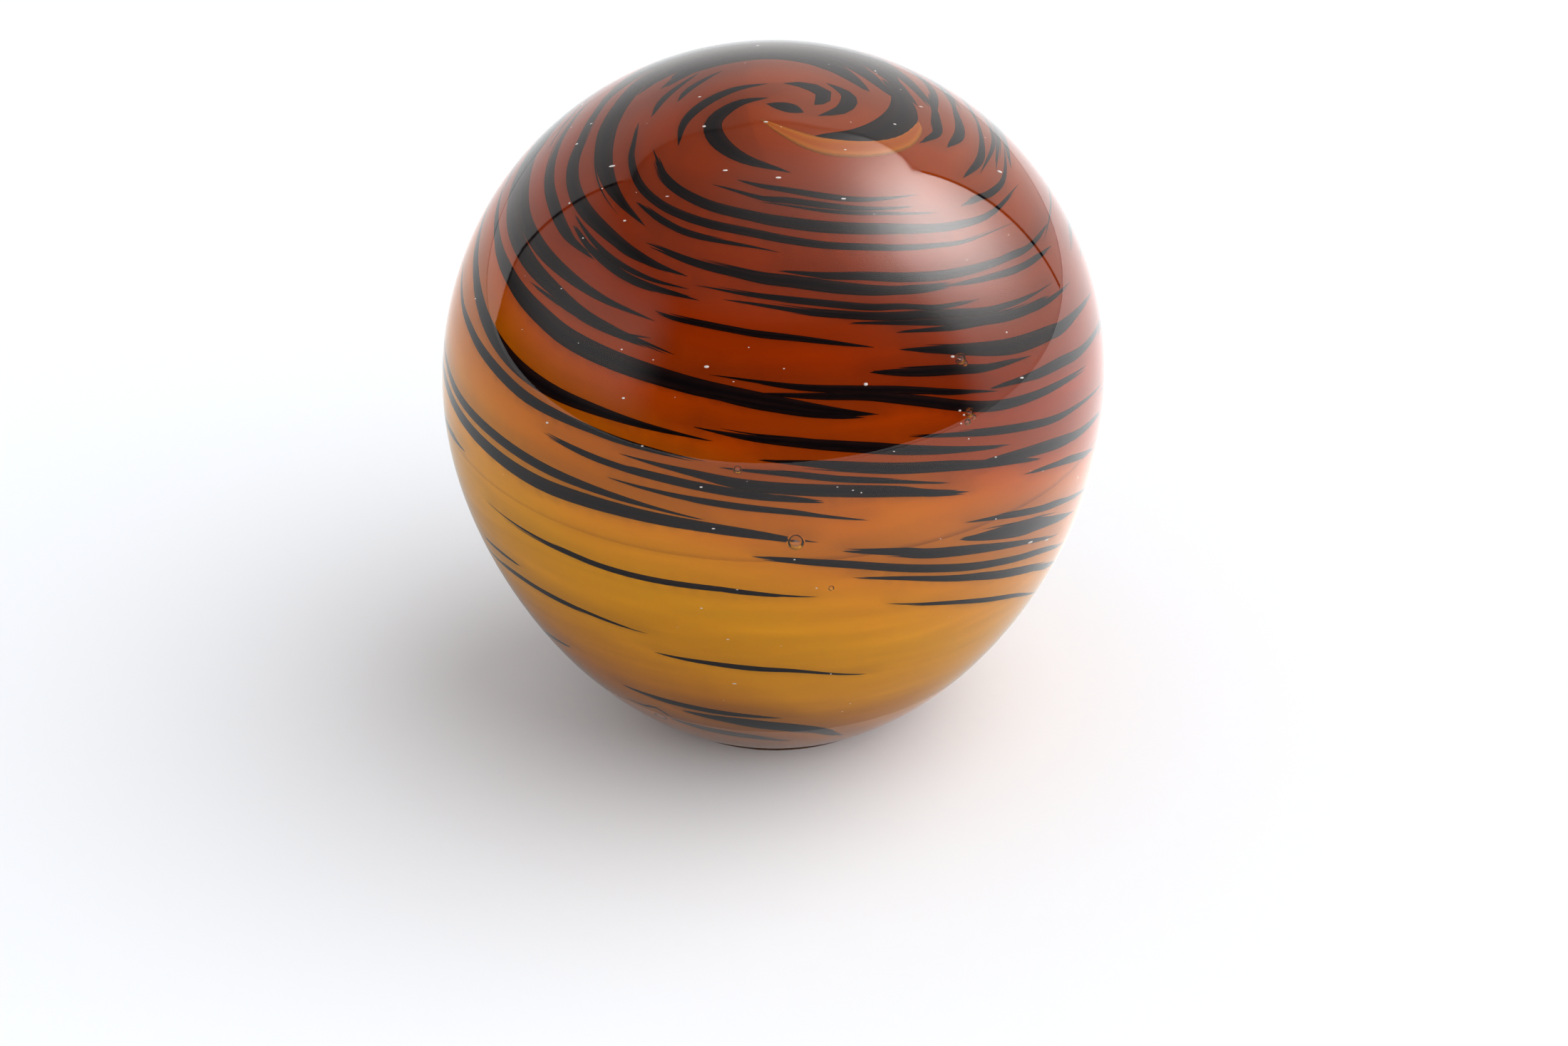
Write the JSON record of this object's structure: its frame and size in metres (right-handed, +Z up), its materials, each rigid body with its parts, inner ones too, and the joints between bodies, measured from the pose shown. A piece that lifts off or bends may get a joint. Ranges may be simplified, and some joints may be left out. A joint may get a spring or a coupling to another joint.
{
  "type": "glass paperweight",
  "caption": "Heavy round art-glass paperweight: thick clear casing over an amber core with a red overlay and black twisted trails, tapering to a flat ground base.",
  "frame": {"origin": "centre of the ground base, on the surface the paperweight stands on", "axes": "+Z up through the top of the glass, -Y towards the front of the piece as pictured, +X to its right"},
  "size_m": [0.08, 0.08, 0.084],
  "materials": {
    "clear_glass": "clear polished glass",
    "amber_glass": "dense amber glass, darker orange towards the top",
    "red_glass": "brick-red glass that fades to orange at its lower edge",
    "fold_glass": "yellow-amber glass",
    "black_glass": "near-black purple glass"
  },
  "bodies": {
    "root": {"clear_casing": "clear_glass", "amber_core": "amber_glass", "red_overlay": "red_glass", "amber_fold": "fold_glass", "crown_trail_comma": "black_glass", "crown_trail_arm": "black_glass", "crown_trail_inner_hook": "black_glass", "crown_trail_outer_hook": "black_glass", "crown_trail_drop": "black_glass", "crown_trail_crescent": "black_glass", "shoulder_trail_01": "black_glass", "shoulder_trail_02": "black_glass", "shoulder_trail_03": "black_glass", "shoulder_trail_04": "black_glass", "shoulder_trail_05": "black_glass", "shoulder_trail_06": "black_glass", "shoulder_trail_07": "black_glass", "shoulder_trail_08": "black_glass", "shoulder_trail_09": "black_glass", "shoulder_trail_10": "black_glass", "shoulder_trail_11": "black_glass", "shoulder_trail_12": "black_glass", "shoulder_trail_13": "black_glass", "shoulder_trail_14": "black_glass", "shoulder_trail_15": "black_glass", "waist_trail_01": "black_glass", "waist_trail_02": "black_glass", "waist_trail_03": "black_glass", "waist_trail_04": "black_glass", "waist_trail_05": "black_glass", "waist_trail_06": "black_glass", "waist_trail_07": "black_glass", "waist_trail_08": "black_glass", "waist_trail_09": "black_glass", "waist_trail_10": "black_glass", "waist_trail_11": "black_glass", "waist_trail_12": "black_glass", "waist_trail_13": "black_glass", "waist_trail_14": "black_glass", "waist_trail_15": "black_glass", "lower_trail_01": "black_glass", "lower_trail_02": "black_glass", "lower_trail_03": "black_glass", "lower_trail_04": "black_glass", "lower_trail_05": "black_glass", "lower_trail_06": "black_glass", "lower_trail_07": "black_glass", "lower_trail_08": "black_glass", "lower_trail_09": "black_glass", "lower_trail_10": "black_glass", "lower_trail_11": "black_glass", "rear_trail_1": "black_glass", "rear_trail_2": "black_glass", "rear_trail_3": "black_glass", "rear_trail_4": "black_glass", "rear_trail_5": "black_glass", "rear_trail_6": "black_glass"}
  },
  "joints": []
}
